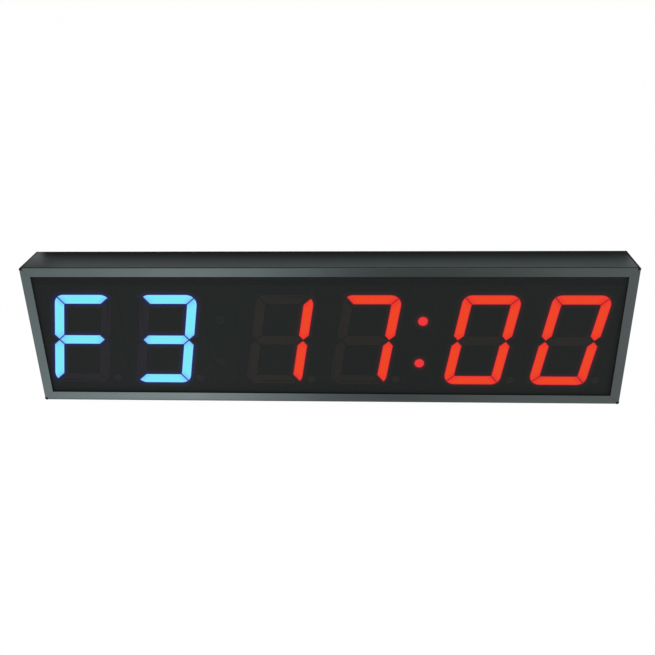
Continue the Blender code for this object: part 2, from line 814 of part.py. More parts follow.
def make_corner_keys():
    spine = [(-SPINE, 0), (-SPINE, -SPINE), (0, -SPINE)]
    spine += arc(-SPINE_RADIUS, -SPINE_RADIUS, SPINE_RADIUS, 0, math.pi / 2, ARC_STEPS + 1)
    key = add("key", plate([key_outline()], KEY_FRONT + FIT, LEDGE_FRONT - FIT))
    join(key, plate([spine], CASE_FRONT, 0))
    made = settled(key)
    bpy.data.objects.remove(key)
    made.materials.append(BLACK_PLASTIC)
    places = (
        ("corner_key_top_right", 1, 1, 0),
        ("corner_key_bottom_right", 1, -1, 90),
        ("corner_key_bottom_left", -1, -1, 180),
        ("corner_key_top_left", -1, 1, 270),
    )
    for name, right, up, turn in places:
        piece = add(name, made)
        piece.location = (right * CASE_WIDTH / 2, 0, up * CASE_HEIGHT / 2)
        piece.rotation_euler = (0, math.radians(turn), 0)


def make_window():
    outline = rectangle(*plate_half(), PLATE_CHAMFER)
    add("front_window", plate([outline], WINDOW_FRONT, WINDOW_BACK), SMOKED)


def keyhole(x):
    """A round entry with a slot above it, as one outline."""
    entry, slot = KEYHOLE_ENTRY / 2, KEYHOLE_SLOT / 2
    mouth = math.asin(slot / entry)
    top = KEYHOLE_RISE + KEYHOLE_TRAVEL
    outline = arc(x, KEYHOLE_RISE, entry, math.pi / 2 + mouth, 2.5 * math.pi - mouth, ROUND)
    return outline + arc(x, top, slot, 0, math.pi, 2 * ARC_STEPS)


def control_middle():
    """X and Z of the middle of the control board."""
    return RIGHT_FACE - LEAD_ROOM - CONTROL_WIDTH / 2, -CONTROL_DROP


def on_control(place):
    x, z = control_middle()
    return x + place[0], z + place[1]


def make_cover():
    sound_x = on_control(BUZZER)[0]
    sound_z = control_middle()[1] + CONTROL_HEIGHT / 2 + SOUND_RISE
    outline = rectangle(*plate_half(), PLATE_CHAMFER)
    cover = add("rear_cover", plate([outline], COVER_INSIDE, 0), COATED_STEEL)
    keyholes = [keyhole(side * KEYHOLE_SPACING / 2) for side in (-1, 1)]
    boolean(cover, plate(keyholes, COVER_INSIDE - FIT, FIT))
    middles = [(sound_x, sound_z), *circle(sound_x, sound_z, SOUND_RING, SOUND_COUNT)]
    for middle, radius in ((middles, SOUND_HOLE / 2), (screw_places(), SCREW_HOLE / 2)):
        holes = [((x, COVER_INSIDE - FIT, z), (x, FIT, z)) for x, z in middle]
        boolean(cover, rods(holes, radius, COARSE))
    slope = (SCREW_HEAD - SCREW_DIAMETER) / 2 / SCREW_HEAD_DEPTH
    sinks = [((x, -SCREW_HEAD_DEPTH - FIT, z), (x, FIT, z)) for x, z in screw_places()]
    narrow, wide = SCREW_HOLE / 2 - slope * FIT, SCREW_HEAD / 2 + FIT + slope * FIT
    boolean(cover, rods(sinks, narrow, COARSE, wide))
    for index, (x, z) in enumerate(screw_places()):
        make_cover_screw(f"cover_screw_{index + 1}", x, z)


def make_cover_screw(name, x, z):
    """Countersunk screw, its head level with the cover and its point inside the case."""
    head, shank = SCREW_HEAD / 2, SCREW_DIAMETER / 2
    profile = [
        (0, 0),
        (head, 0),
        (head, -SCREW_HEAD_DEPTH / 8),
        (shank, -SCREW_HEAD_DEPTH),
        (shank, shank - SCREW_LENGTH),
        (0, -SCREW_LENGTH),
    ]
    screw = turned(name, profile, (x, 0, z), (0, 1, 0), COARSE, SCREW_STEEL)
    across = block_at((x, 0, z), (DRIVE_LENGTH, 2 * DRIVE_DEPTH, DRIVE_WIDTH))
    upright = block_at((x, 0, z), (DRIVE_WIDTH, 2 * DRIVE_DEPTH, DRIVE_LENGTH))
    for slot in (across, upright):
        boolean(screw, blocks([slot]))


def make_control_board():
    x, z = control_middle()
    low = (x - CONTROL_WIDTH / 2, CONTROL_FRONT, z - CONTROL_HEIGHT / 2)
    high = (x + CONTROL_WIDTH / 2, CONTROL_BACK, z + CONTROL_HEIGHT / 2)
    board = add("control_board", blocks([(low, high)]), BOARD_GREEN)
    reach = CONTROL_HEIGHT / 2 - SUPPORT_INSET
    spots = [
        (x + side * (CONTROL_WIDTH / 2 - SUPPORT_INSET), z + up * reach)
        for up in (1, -1)
        for side in (-1, 1)
    ]
    holes = [((sx, CONTROL_FRONT - FIT, sz), (sx, CONTROL_BACK + FIT, sz)) for sx, sz in spots]
    boolean(board, rods(holes, SUPPORT_TIP / 2 + FIT, COARSE))
    for index, (sx, sz) in enumerate(spots):
        make_support(f"board_support_{index + 1}", sx, sz)


def make_support(name, x, z):
    """Nylon support: a foot on the cover, a post under the board and a barbed tip through it."""
    foot, post, tip, barb = (
        size / 2 for size in (SUPPORT_FOOT, SUPPORT_POST, SUPPORT_TIP, SUPPORT_BARB)
    )
    shoulder = SUPPORT_HEIGHT - 2 * FIT
    neck = shoulder + BOARD_THICKNESS + 2 * FIT
    profile = [
        (0, neck + barb),
        (tip / 2, neck + barb),
        (barb, neck),
        (tip, neck),
        (tip, shoulder),
        (post, shoulder),
        (post, SUPPORT_FOOT_THICKNESS),
        (foot, SUPPORT_FOOT_THICKNESS),
        (foot, 0),
        (0, 0),
    ]
    turned(name, profile, (x, COVER_INSIDE - FIT, z), (0, -1, 0), COARSE, NYLON)


def chip(name, place, size, count, board, side):
    """A chip on a board, with a row of bent legs above it and one below.

    The side is -1 on a face that looks forward and 1 on a face that looks back.
    """
    x, z = place
    length, width, height = size
    lift = FIT + LEG_WIDTH + height / 2
    body = block_at((x, board + side * lift, z), (length, height, width))
    piece = add(name, blocks([body]), CHIP_BLACK)
    half = LEG_THICKNESS / 2
    root, reach = width / 2 - LEG_REACH / 2, width / 2 + LEG_REACH
    bent = [
        (root, lift + half),
        (root, lift - half),
        (reach - LEG_THICKNESS, lift - half),
        (reach - LEG_THICKNESS, FIT),
        (reach, FIT),
        (reach, lift + half),
    ]
    moves = []
    for step in range(count):
        leg_x = x + (step - (count - 1) / 2) * LEG_PITCH
        for up in (1, -1):
            rows = ((0, 0, 1, leg_x), (0, side, 0, board), (up, 0, 0, z), (0, 0, 0, 1))
            moves.append(Matrix(rows))
    join(piece, copies(extruded([bent], LEG_WIDTH), moves), TIN)


def header(name, place, board, side):
    """Pin header for the ribbon cable, with its key notch facing up."""
    x, z = place
    width, length, height = HEADER_SIZE
    middle = board + side * (FIT + height / 2)
    piece = add(name, blocks([block_at((x, middle, z), (width, height, length))]), CHIP_BLACK)
    notch = block_at((x, middle + side * height / 2, z + length / 2), (HEADER_KEY, height, RIM))
    boolean(piece, blocks([notch]))


def make_ribbon(start_x, end_x, z):
    """Flat cable from the display board's header back to the control board's."""
    rest = HEADER_SIZE[0] / 2
    lift = 2 * FIT + HEADER_SIZE[2] + RIBBON_THICKNESS / 2
    start_y, end_y = BOARD_BACK + lift, CONTROL_FRONT - lift
    path = [(start_x - rest, start_y)]
    for step in range(RIBBON_STEPS + 1):
        share = step / RIBBON_STEPS
        ease = share * share * (3 - 2 * share)
        x = start_x + rest + share * (end_x - start_x - 2 * rest)
        path.append((x, start_y + ease * (end_y - start_y)))
    path.append((end_x + rest, end_y))
    half = RIBBON_THICKNESS / 2
    outline = [(x, y - half) for x, y in path] + [(x, y + half) for x, y in reversed(path)]
    ribbon = extruded([outline], RIBBON_WIDTH)
    ribbon.transform(Matrix.Translation((0, 0, z)))
    add("ribbon_cable", ribbon, RIBBON_GREY)


def upright(name, place, profile, steps, finish):
    """A turned part that stands forward on the control board."""
    x, z = on_control(place)
    return turned(name, profile, (x, CONTROL_FRONT - FIT, z), (0, -1, 0), steps, finish)


def make_capacitor():
    radius, height, groove = CAPACITOR_DIAMETER / 2, CAPACITOR_HEIGHT, CAPACITOR_GROOVE
    profile = [
        (0, height),
        (radius - groove, height),
        (radius, height - groove),
        (radius, height - 3 * groove),
        (radius - groove, height - 4 * groove),
        (radius, height - 5 * groove),
        (radius, 0),
        (0, 0),
    ]
    upright("power_capacitor", CAPACITOR, profile, ROUND, CAN_SLEEVE)


def make_buzzer():
    radius, height, port = BUZZER_DIAMETER / 2, BUZZER_HEIGHT, BUZZER_PORT / 2
    profile = [
        (0, height - port),
        (port, height - port),
        (port, height),
        (radius, height),
        (radius, 0),
        (0, 0),
    ]
    upright("buzzer", BUZZER, profile, ROUND, CHIP_BLACK)


def make_coin_cell():
    radius = CELL_DIAMETER / 2
    inner = radius + FIT
    outer, rim = inner + HOLDER_WALL, HOLDER_FLOOR + CELL_THICKNESS
    cup = [(0, HOLDER_FLOOR), (inner, HOLDER_FLOOR), (inner, rim), (outer, rim), (outer, 0), (0, 0)]
    holder = upright("coin_cell_holder", CELL, cup, FINE, CHIP_BLACK)
    x, z = on_control(CELL)
    top = CONTROL_FRONT - FIT - rim
    notch = block_at((x, top, z + outer), (HOLDER_NOTCH, CELL_THICKNESS, 2 * HOLDER_NOTCH))
    boolean(holder, blocks([notch]))
    bevel = CELL_THICKNESS / 8
    base = HOLDER_FLOOR + FIT
    cell = [
        (0, base + CELL_THICKNESS),
        (radius - bevel, base + CELL_THICKNESS),
        (radius, base + CELL_THICKNESS - bevel),
        (radius, base),
        (0, base),
    ]
    upright("coin_cell", CELL, cell, FINE, TIN)


def make_crystal():
    """Crystal can with round ends."""
    x, z = on_control(CRYSTAL)
    length, width, height = CRYSTAL_SIZE
    radius, reach = width / 2, (length - width) / 2
    outline = arc(x + reach, z, radius, -math.pi / 2, math.pi / 2, 2 * ARC_STEPS)
    outline += arc(x - reach, z, radius, math.pi / 2, 1.5 * math.pi, 2 * ARC_STEPS)
    back = CONTROL_FRONT - FIT
    add("clock_crystal", plate([outline], back - height, back), TIN)


def terminal_entries():
    """Where the two leads enter the terminal block, upper one first."""
    x, z = on_control((CONTROL_WIDTH / 2 - TERMINAL_INSET, TERMINAL_Z))
    y = CONTROL_FRONT - FIT - ENTRY_RISE
    return [Vector((x, y, z + side * LEAD_SPACING / 2)) for side in (1, -1)]


def make_terminal():
    """Terminal block: a wire hole in its side and a screw hole in its top for each lead."""
    length, width, height = TERMINAL_SIZE
    entries = terminal_entries()
    x, z = entries[0].x - length / 2, (entries[0].z + entries[1].z) / 2
    front = CONTROL_FRONT - FIT - height
    middle = (x, front + height / 2, z)
    block = add("power_terminal", blocks([block_at(middle, (length, height, width))]), SOCKET_GREEN)
    inward = Vector((-length / 2, 0, 0))
    outward = Vector((FIT, 0, 0))
    holes = [(entry + outward, entry + inward) for entry in entries]
    holes += [((x, front - FIT, entry.z), (x, entry.y, entry.z)) for entry in entries]
    for ends in (holes[:2], holes[2:]):
        boolean(block, rods(ends, LEAD_DIAMETER / 2 + FIT, 8))


def make_electronics():
    make_control_board()
    make_capacitor()
    make_buzzer()
    make_coin_cell()
    make_crystal()
    make_terminal()
    controller = on_control(CONTROLLER)
    chip("microcontroller", controller, CONTROLLER_SIZE, CONTROLLER_LEGS, CONTROL_FRONT, -1)
    for index, side in enumerate((-1, 1)):
        place = (side * DRIVER_OFFSET, 0)
        chip(f"led_driver_{index + 1}", place, DRIVER_SIZE, DRIVER_LEGS, BOARD_BACK, 1)
    x, z = on_control(HEADER)
    header("control_header", (x, z), CONTROL_FRONT, -1)
    header("display_header", (x - RIBBON_RUN, z), BOARD_BACK, 1)
    make_ribbon(x - RIBBON_RUN, x, z)


def make_jack():
    """Round power jack through the rail's wall, with its nut inside and its solder tags."""
    bore, pin, barrel, flange = (
        size / 2 for size in (JACK_BORE, JACK_PIN, JACK_BARREL, JACK_FLANGE)
    )
    mouth, floor = JACK_FLANGE_THICKNESS, JACK_FLOOR - JACK_LENGTH
    profile = [
        (0, mouth - JACK_PIN_SINK),
        (pin, mouth - JACK_PIN_SINK),
        (pin, floor),
        (bore, floor),
        (bore, mouth),
        (flange, mouth),
        (flange, 0),
        (barrel, 0),
        (barrel, -JACK_LENGTH),
        (0, -JACK_LENGTH),
    ]
    base = (RIGHT_FACE + FIT, FITTINGS_Y, JACK_Z)
    jack = turned("dc_jack", profile, base, (1, 0, 0), ROUND, BLACK_PLASTIC)
    join(jack, blocks([block_at(middle, TAG_SIZE) for middle in jack_tags()]), TIN)
    nut_radius = NUT_WIDTH / math.sqrt(3)
    hole = circle(0, 0, JACK_BARREL / 2 + FIT, ROUND)
    nut = extruded([circle(0, 0, nut_radius, 6), hole], NUT_THICKNESS)
    nut_x = RIGHT_FACE - WALL - FIT - NUT_THICKNESS / 2
    turn = Matrix.Rotation(math.pi / 2, 4, "Y")
    nut.transform(Matrix.Translation((nut_x, FITTINGS_Y, JACK_Z)) @ turn)
    add("jack_nut", nut, TIN)


def jack_tags():
    """The middles of the jack's solder tags, upper one first."""
    x = RIGHT_FACE - JACK_LENGTH - TAG_SIZE[0] / 2 + 2 * FIT
    return [Vector((x, FITTINGS_Y, JACK_Z + side * TAG_SPACING / 2)) for side in (1, -1)]


def well_half_length():
    """Half the length of the switch's well: what the tilted rocker sweeps, and its clearance."""
    sweep = ROCKER_HALF_LENGTH * math.cos(ROCKER_TILT) + ROCKER_RISE * math.sin(ROCKER_TILT)
    return sweep + FIT


def switch_body_length():
    return 2 * (well_half_length() + SWITCH_WALL)


def switch_body_width():
    return ROCKER_WIDTH + 2 * (FIT + SWITCH_WALL)


def switch_blades():
    """The middles of the switch's blades, upper one first."""
    x = RIGHT_FACE - SWITCH_DEPTH - BLADE_SIZE[0] / 2 + 2 * FIT
    return [Vector((x, FITTINGS_Y, SWITCH_Z + side * BLADE_SPACING / 2)) for side in (1, -1)]


def make_switch():
    """Switch body with its bezel, well and blades, and the rocker on its trunnions."""
    length, width = switch_body_length(), switch_body_width()
    face = RIGHT_FACE + FIT
    back, front = face - SWITCH_DEPTH, face + SWITCH_BEZEL_THICKNESS
    pivot = Vector((front - ROCKER_PIVOT_DEPTH, FITTINGS_Y, SWITCH_Z))
    bezel_middle = Vector(((front + face) / 2, FITTINGS_Y, SWITCH_Z))
    bezel_size = (SWITCH_BEZEL_THICKNESS, width + 2 * SWITCH_RIM, length + 2 * SWITCH_RIM)
    body = add("switch_body", blocks([block_at(bezel_middle, bezel_size)]), BLACK_PLASTIC)
    shell_middle = ((back + bezel_middle.x) / 2, FITTINGS_Y, SWITCH_Z)
    join(body, blocks([block_at(shell_middle, (bezel_middle.x - back, width, length))]))
    join(body, blocks([block_at(middle, BLADE_SIZE) for middle in switch_blades()]), TIN)
    floor = pivot.x - ROCKER_KEEL - 2 * FIT
    well_size = (2 * (front - floor), ROCKER_WIDTH + 2 * FIT, 2 * well_half_length())
    boolean(body, blocks([block_at((front, FITTINGS_Y, SWITCH_Z), well_size)]))
    pin = Vector((0, ROCKER_WIDTH / 2 + TRUNNION_LENGTH, 0))
    spare = Vector((0, FIT, 0))
    pocket = [(pivot - pin - spare, pivot + pin + spare)]
    boolean(body, rods(pocket, TRUNNION_DIAMETER / 2 + FIT, COARSE))
    make_rocker(pivot, pin)


def make_rocker(pivot, pin):
    """The rocker about its pivot: a dished face, a skirt and a keel. Its top is pressed in."""
    half, rise, dish = ROCKER_HALF_LENGTH, ROCKER_RISE, ROCKER_DISH
    shares = [step / ARC_STEPS for step in range(-ARC_STEPS, ARC_STEPS + 1)]
    face = [(dish + (rise - dish) * share * share, half * share) for share in shares]
    back = [
        (-ROCKER_SKIRT, half),
        (-ROCKER_KEEL, half / 3),
        (-ROCKER_KEEL, -half / 3),
        (-ROCKER_SKIRT, -half),
    ]
    solid = plate([face + back], -ROCKER_WIDTH / 2, ROCKER_WIDTH / 2)
    rocker = add("power_rocker", solid, BLACK_PLASTIC)
    join(rocker, rods([(-pin, pin)], TRUNNION_DIAMETER / 2, COARSE))
    settled(rocker)
    rocker.location = pivot
    rocker.rotation_euler = (0, -ROCKER_TILT, 0)


def make_lead(name, ends, pulls, finish, tail=0.0):
    """A round wire on one smooth curve between two points, with a straight tail if one is given."""
    start, end = ends
    bend = interpolate_bezier(start, start + pulls[0], end + pulls[1], end, LEAD_STEPS)
    if tail:
        bend.append(end - Vector((tail, 0, 0)))
    curve = bpy.data.curves.new(name, "CURVE")
    curve.dimensions = "3D"
    curve.bevel_depth = LEAD_DIAMETER / 2
    curve.bevel_resolution = 2
    curve.use_fill_caps = True
    spline = curve.splines.new("POLY")
    spline.points.add(len(bend) - 1)
    for point, place in zip(spline.points, bend):
        point.co = (*place, 1)
    add(name, converted(curve), finish)


def make_leads():
    """Jack to terminal block, jack to switch, and switch to terminal block."""
    tag_end = Vector((TAG_SIZE[0] / 2 + FIT, 0, 0))
    blade_end = Vector((BLADE_SIZE[0] / 2 + FIT, 0, 0))
    tags = [middle - tag_end for middle in jack_tags()]
    blades = [middle - blade_end for middle in switch_blades()]
    entries = terminal_entries()
    pull = Vector((-LEAD_PULL, 0, 0))
    make_lead("jack_lead", (tags[1], entries[1]), (pull, -pull), LEAD_BLACK, LEAD_TAIL)
    make_lead("switch_lead", (blades[0], entries[0]), (pull, -pull), LEAD_RED, LEAD_TAIL)
    make_lead("link_lead", (tags[0], blades[1]), (pull, pull), LEAD_RED)


make_rails()
make_corner_keys()
make_window()
make_display()
make_cover()
make_electronics()
make_jack()
make_switch()
make_leads()
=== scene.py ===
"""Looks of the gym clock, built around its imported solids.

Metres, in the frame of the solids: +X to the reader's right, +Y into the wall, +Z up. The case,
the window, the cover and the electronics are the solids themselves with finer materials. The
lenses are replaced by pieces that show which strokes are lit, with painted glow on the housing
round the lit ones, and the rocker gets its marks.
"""

import math

import bmesh
import bpy
from mathutils import Matrix, Vector
from mathutils.bvhtree import BVHTree


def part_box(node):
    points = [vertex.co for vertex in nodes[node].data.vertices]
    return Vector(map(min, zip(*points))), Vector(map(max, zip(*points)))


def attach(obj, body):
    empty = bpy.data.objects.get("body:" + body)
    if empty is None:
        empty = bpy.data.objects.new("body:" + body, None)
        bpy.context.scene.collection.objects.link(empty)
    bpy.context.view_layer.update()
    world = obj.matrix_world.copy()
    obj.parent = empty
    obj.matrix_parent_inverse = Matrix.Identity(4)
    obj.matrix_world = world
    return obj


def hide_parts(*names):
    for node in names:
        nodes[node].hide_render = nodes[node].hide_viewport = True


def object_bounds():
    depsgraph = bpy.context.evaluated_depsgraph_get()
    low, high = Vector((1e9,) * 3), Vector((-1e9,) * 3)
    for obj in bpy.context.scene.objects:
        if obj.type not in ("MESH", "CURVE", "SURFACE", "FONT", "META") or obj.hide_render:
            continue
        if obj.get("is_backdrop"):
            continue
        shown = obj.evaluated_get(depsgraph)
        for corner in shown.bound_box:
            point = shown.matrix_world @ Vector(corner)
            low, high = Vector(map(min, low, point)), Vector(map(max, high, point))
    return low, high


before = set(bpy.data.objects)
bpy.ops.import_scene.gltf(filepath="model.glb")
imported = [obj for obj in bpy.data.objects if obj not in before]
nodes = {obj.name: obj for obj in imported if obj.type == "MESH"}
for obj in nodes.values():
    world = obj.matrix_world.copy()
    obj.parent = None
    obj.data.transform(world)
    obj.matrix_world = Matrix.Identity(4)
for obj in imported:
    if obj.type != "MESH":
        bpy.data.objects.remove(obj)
cad_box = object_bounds()
scene = bpy.context.scene

MM = 0.001

# What the display shows: its signs, how many of them are blue, and the colon that is lit.
READING = "F31700"
BLUE_DIGITS = 2
LIT_COLON = 2
LIT_STROKES = {"F": "aefg", "3": "abcdg", "1": "bc", "7": "abc", "0": "abcdef"}

# A digit slants by this share of its height. A stroke in the middle of it, across or up, is this
# near to its middle line. The decimal point is at least so far across and so far below.
DIGIT_SLANT = 1 / 6
MIDDLE_REACH = 10 * MM
POINT_ACROSS = 30 * MM
POINT_BELOW = 35 * MM

# A mitre is a side that slants by at least this share of its length, and is at least this long.
# The facets of a corner are shorter.
MITRE_SLANT = 0.4
SHORTEST_MITRE = 5 * MM
# A stroke reaches this far past its solid at a mitre.
MITRE_REACH = 0.20 * MM
# How deep the face of a stroke is dished, and how thick the slab behind the strokes is.
DISH_DEPTH = 0.22 * MM
SLAB_REACH = 3.7 * MM
# The bands of a stroke's face, from its edge in: where each ends at a mitre and at other sides.
FACE_BANDS = ((0.05 * MM, 0.25 * MM), (1.5 * MM, 1.15 * MM), (4.0 * MM, 1.9 * MM))

# The sheet of painted glow that lit strokes spill onto the housing: how far out each of its bands
# ends, and its thickness, which is also how far it stands in front of the strokes.
PAINTED_GLOW_BANDS = (0.9 * MM, 1.9 * MM, 2.9 * MM, 4.2 * MM)
PAINTED_GLOW_RISE = 0.04 * MM
# A lit stroke at most so far off is across a mitre. There each band ends at a share of the way.
WIDEST_MITRE = 1.8 * MM
MITRE_SHARES = (0.450, 0.462, 0.474, 0.486)
# How often the way to a neighbour is halved to find where the sheets of two strokes meet.
HALVINGS = 12

# Points closer than this are one point, and points this near the front of a lens are on it.
SAME_PLACE = 0.001 * MM
FRONT_DEPTH = 0.01 * MM
# Two sides are parallel when the sine of the angle between them is below this.
PARALLEL = 1e-4

# Each face of the window passes this share of what is behind it, and a glow makes up for it.
FACE_PASS = 0.70
GLOW_STRENGTH = 1 / FACE_PASS**2

# Most of a noise lies between these values.
NOISE_MIDDLE = (0.3, 0.7)
# The share by which a grained surface's roughness goes up and down.
SHEEN_VARY = 0.1


def added(tree, kind, inputs=(), **settings):
    """A new node. Each input, by name or number, is a value or another node's output."""
    made = tree.nodes.new(kind)
    for name, value in settings.items():
        setattr(made, name, value)
    for key, value in dict(inputs).items():
        if isinstance(value, bpy.types.NodeSocket):
            tree.links.new(value, made.inputs[key])
        else:
            made.inputs[key].default_value = value
    return made


def arithmetic(tree, operation, *values):
    """The result of one operation on numbers or other nodes' outputs."""
    inputs = dict(enumerate(values))
    return added(tree, "ShaderNodeMath", inputs, operation=operation).outputs[0]


def eased(tree, value, start, end):
    """A share that rises smoothly from 0 to 1 while a value goes from start to end."""
    inputs = {"Value": value, "From Min": start, "From Max": end}
    made = added(tree, "ShaderNodeMapRange", inputs, interpolation_type="SMOOTHSTEP")
    return made.outputs["Result"]


def ramp(tree, share, steps):
    """The colour at a share of the way through steps, each a position and its colour."""
    made = added(tree, "ShaderNodeValToRGB", {"Fac": share})
    elements = made.color_ramp.elements
    for element, (position, colour) in zip(elements, (steps[0], steps[-1])):
        element.position = position
        element.color = (*colour, 1)
    for position, colour in steps[1:-1]:
        elements.new(position).color = (*colour, 1)
    return made.outputs["Color"]


def scaled(colour, factor):
    return tuple(channel * factor for channel in colour)


def opaque(colour):
    """A constant colour with full alpha. A node's output stays as it is."""
    return (*colour, 1) if isinstance(colour, tuple) else colour


class Shader:
    """A material built round one Principled shader."""

    def __init__(self, name, roughness=0.5, metallic=0.0):
        self.material = bpy.data.materials.new(name)
        self.material.use_nodes = True
        self.tree = self.material.node_tree
        self.surface = self.tree.nodes["Principled BSDF"]
        self.set("Roughness", roughness)
        self.set("Metallic", metallic)
        self.place = added(self.tree, "ShaderNodeTexCoord").outputs["Object"]

    def set(self, name, value):
        self.surface.inputs[name].default_value = value

    def drive(self, name, output):
        self.tree.links.new(output, self.surface.inputs[name])

    def show(self, output):
        """Puts another shader on the surface."""
        self.tree.links.new(output, self.tree.nodes["Material Output"].inputs["Surface"])

    def noise(self, scale, detail=3.0, stretch=(1, 1, 1)):
        """Noise of a scale per metre, stretched along an axis by a factor below one."""
        mapping = added(self.tree, "ShaderNodeMapping", {"Scale": stretch, "Vector": self.place})
        inputs = {"Scale": scale, "Detail": detail, "Vector": mapping.outputs["Vector"]}
        return added(self.tree, "ShaderNodeTexNoise", inputs).outputs["Fac"]

    def spread(self, value, low, high):
        """The middle range of a noise, mapped to the range from low to high."""
        start, end = NOISE_MIDDLE
        inputs = {"Value": value, "From Min": start, "From Max": end, "To Min": low, "To Max": high}
        return added(self.tree, "ShaderNodeMapRange", inputs).outputs["Result"]

    def blend(self, amount, first, second):
        """A colour between two, each a constant or another node's output."""
        inputs = {"Factor": amount, "A": opaque(first), "B": opaque(second)}
        return added(self.tree, "ShaderNodeMix", inputs, data_type="RGBA").outputs["Result"]

    def mottled(self, cloud, colour, vary):
        """A colour that goes darker and lighter by a share with a noise."""
        return self.blend(cloud, scaled(colour, 1 - vary), scaled(colour, 1 + vary))

    def bump(self, height, strength, distance):
        inputs = {"Strength": strength, "Distance": distance, "Height": height}
        self.drive("Normal", added(self.tree, "ShaderNodeBump", inputs).outputs["Normal"])


def grained(
    name, colour, roughness, metallic=0.0, vary=0.15, scale=900, bump=0.12, specular=0.5
):
    """A moulded, coated or plated surface: soft mottling, uneven sheen and a fine grain."""
    shader = Shader(name, roughness, metallic)
    shader.set("Specular IOR Level", specular)
    cloud = shader.noise(scale, detail=4)
    shader.drive("Base Color", shader.mottled(cloud, colour, vary))
    rough_ends = (roughness * (1 - SHEEN_VARY), roughness * (1 + SHEEN_VARY))
    shader.drive("Roughness", shader.spread(cloud, *rough_ends))
    shader.bump(shader.noise(6000, detail=2), bump, distance=0.05 * MM)
    return shader.material


def anodised(name, along):
    """Satin black anodised extrusion: die lines along its length under a cloudy sheen."""
    colour = (0.092, 0.108, 0.1095)
    shader = Shader(name, 0.42, metallic=1.0)
    stretch = [1.0, 1.0, 1.0]
    stretch[along] = 0.02
    lines = shader.noise(2600, detail=2, stretch=stretch)
    tint = shader.mottled(shader.noise(28, detail=5), colour, vary=0.14)
    shader.drive("Base Color", shader.blend(lines, scaled(colour, 0.8), tint))
    shader.drive("Roughness", shader.spread(lines, 0.38, 0.46))
    shader.bump(lines, strength=0.10, distance=0.04 * MM)
    return shader.material


def smoked():
    """Smoked acrylic with a fine anti-glare face."""
    shader = Shader("smoked_acrylic", 0.38)
    tint = shader.blend(shader.noise(14), (0.0410, 0.0485, 0.0465), (0.0465, 0.0500, 0.0485))
    shader.drive("Base Color", tint)
    shader.drive("Roughness", shader.spread(shader.noise(220), 0.34, 0.42))
    shader.set("Specular IOR Level", 0.02)
    shader.set("Alpha", 1 - FACE_PASS)
    return shader.material


def powder_coat():
    """Black powder coat with its orange-peel texture."""
    shader = Shader("powder_coat", 0.52)
    peel = shader.noise(1500)
    shader.drive("Base Color", shader.mottled(peel, (0.030, 0.030, 0.032), vary=0.2))
    shader.drive("Roughness", shader.spread(peel, 0.46, 0.58))
    shader.bump(peel, strength=0.35, distance=0.08 * MM)
    return shader.material


def solder_mask(name, colour, copper):
    """Circuit board: a glossy mask over tracks, which show as a lighter maze."""
    shader = Shader(name, 0.35)
    inputs = {"Rotation": (math.pi / 2, 0, 0), "Vector": shader.place}
    turned = added(shader.tree, "ShaderNodeMapping", inputs)
    inputs = {
        "Scale": 60,
        "Mortar Size": 0.012,
        "Color1": (0, 0, 0, 1),
        "Color2": (0.15, 0.15, 0.15, 1),
        "Mortar": (1, 1, 1, 1),
        "Vector": turned.outputs["Vector"],
    }
    tracks = added(shader.tree, "ShaderNodeTexBrick", inputs).outputs["Color"]
    shader.drive("Base Color", shader.blend(tracks, colour, copper))
    shader.drive("Roughness", shader.spread(shader.noise(500), 0.30, 0.40))
    shader.bump(tracks, strength=0.2, distance=0.03 * MM)
    return shader.material


def epoxy(name, colour):
    """Unlit epoxy over the chips of a lens."""
    return grained(name, colour, 0.6, vary=0.1, scale=700, bump=0.04, specular=0.15)


def glowing(name, body, colour):
    """Lit epoxy: an even glow over a faintly cloudy body."""
    shader = Shader(name)
    shader.drive("Base Color", shader.mottled(shader.noise(700), body, vary=0.15))
    shader.set("Specular IOR Level", 0.1)
    shader.set("Emission Color", (*colour, 1))
    shader.set("Emission Strength", GLOW_STRENGTH)
    return shader.material


CASE_LONG = anodised("anodised_long", along=0)
CASE_TALL = anodised("anodised_tall", along=2)
WINDOW = smoked()
COAT = powder_coat()
MOULDED = grained("moulded_black", (0.013, 0.013, 0.014), 0.42, vary=0.2)
ROCKER = grained("rocker_black", (0.010, 0.010, 0.011), 0.24, vary=0.15, bump=0.05)
SCREW = grained("screw_black", (0.045, 0.045, 0.047), 0.32, metallic=0.9, scale=2500)
REFLECTOR = grained(
    "reflector_black", (0.0060, 0.0065, 0.0075), 0.75, vary=0.2, scale=300, specular=0.1
)
EPOXY_RED = epoxy("epoxy_red", (0.0405, 0.0235, 0.0175))
EPOXY_BLUE = epoxy("epoxy_blue", (0.0270, 0.0120, 0.0330))
EPOXY_DARK = epoxy("epoxy_dark", (0.0060, 0.0060, 0.0065))
CORNER = grained("corner_black", (0.006, 0.006, 0.006), 0.5, vary=0.2, specular=0.15)
BOARD = solder_mask("board_green", (0.010, 0.075, 0.030), (0.03, 0.16, 0.06))
BOARD_BLACK = solder_mask("board_black", (0.008, 0.009, 0.009), (0.018, 0.019, 0.018))
CHIP = grained("chip_black", (0.020, 0.020, 0.022), 0.6, scale=3000)
RECEIVER = grained("receiver_black", (0.0060, 0.0065, 0.0075), 0.6, vary=0.2, specular=0.1)
TIN = grained(
    "nickel_plate", (0.70, 0.69, 0.66), 0.28, metallic=1.0, vary=0.06, scale=1500, bump=0.06
)
SLEEVE = grained("can_sleeve", (0.018, 0.026, 0.075), 0.32, vary=0.1)
SOCKET = grained("terminal_green", (0.020, 0.200, 0.085), 0.45, vary=0.1)
NYLON = grained("nylon_natural", (0.76, 0.75, 0.69), 0.45, vary=0.05)
RIBBON = grained("ribbon_grey", (0.36, 0.37, 0.38), 0.55, vary=0.08)
LEAD_RED = grained("lead_red", (0.55, 0.02, 0.02), 0.42, vary=0.1)
LEAD_BLACK = grained("lead_black", (0.015, 0.015, 0.016), 0.42, vary=0.1)
